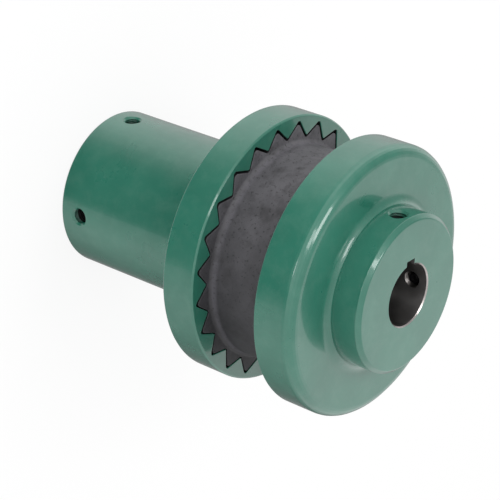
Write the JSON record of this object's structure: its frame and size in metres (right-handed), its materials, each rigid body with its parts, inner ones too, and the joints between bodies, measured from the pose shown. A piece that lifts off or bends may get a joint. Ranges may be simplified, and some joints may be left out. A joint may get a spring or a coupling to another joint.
{
  "type": "toothed sleeve shaft coupling",
  "caption": "Flexible shaft coupling: a long-hub flange and a short-hub flange joined by a hollow rubber sleeve with meshing teeth.",
  "frame": {"origin": "centre of the long hub's end face, which is the bottom of the part", "axes": "+Z along the shaft axis from the pump end to the motor end, +X through both keyways"},
  "size_m": [0.1384, 0.1384, 0.1898],
  "materials": {
    "green_enamel": "semi-gloss enamel on cast iron",
    "sleeve_rubber": "matt moulded rubber",
    "screw_steel": "black oxide"
  },
  "bodies": {
    "pump_half": {"pump_flange": "green_enamel"},
    "sleeve": {"rubber_sleeve": "sleeve_rubber"},
    "motor_half": {"motor_flange": "green_enamel"},
    "pump_key_screw": {"pump_key_screw": "screw_steel"},
    "pump_side_screw": {"pump_side_screw": "screw_steel"},
    "motor_key_screw": {"motor_key_screw": "screw_steel"},
    "motor_side_screw": {"motor_side_screw": "screw_steel"}
  },
  "joints": [
    {"name": "sleeve_pull", "type": "slide", "parent": "pump_half", "child": "sleeve", "axis": [0, 0, 1], "range_m": [0, 0.016]},
    {"name": "wind_up", "type": "hinge", "parent": "sleeve", "child": "motor_half", "pos_m": [0, 0, 0.13125], "axis": [0, 0, 1], "range_deg": [-15, 15], "stiffness_Nm_per_rad": 490, "deforming": ["rubber_sleeve"]},
    {"name": "pump_key_screw_run", "type": "slide", "parent": "pump_half", "child": "pump_key_screw", "axis": [-1, 0, 0], "range_m": [-0.009, 0.0006]},
    {"name": "pump_side_screw_run", "type": "slide", "parent": "pump_half", "child": "pump_side_screw", "axis": [0, -1, 0], "range_m": [-0.012, 0.0006]},
    {"name": "motor_key_screw_run", "type": "slide", "parent": "motor_half", "child": "motor_key_screw", "axis": [-1, 0, 0], "range_m": [-0.008, 0.0006]},
    {"name": "motor_side_screw_run", "type": "slide", "parent": "motor_half", "child": "motor_side_screw", "axis": [0, 1, 0], "range_m": [-0.011, 0.0006]}
  ]
}
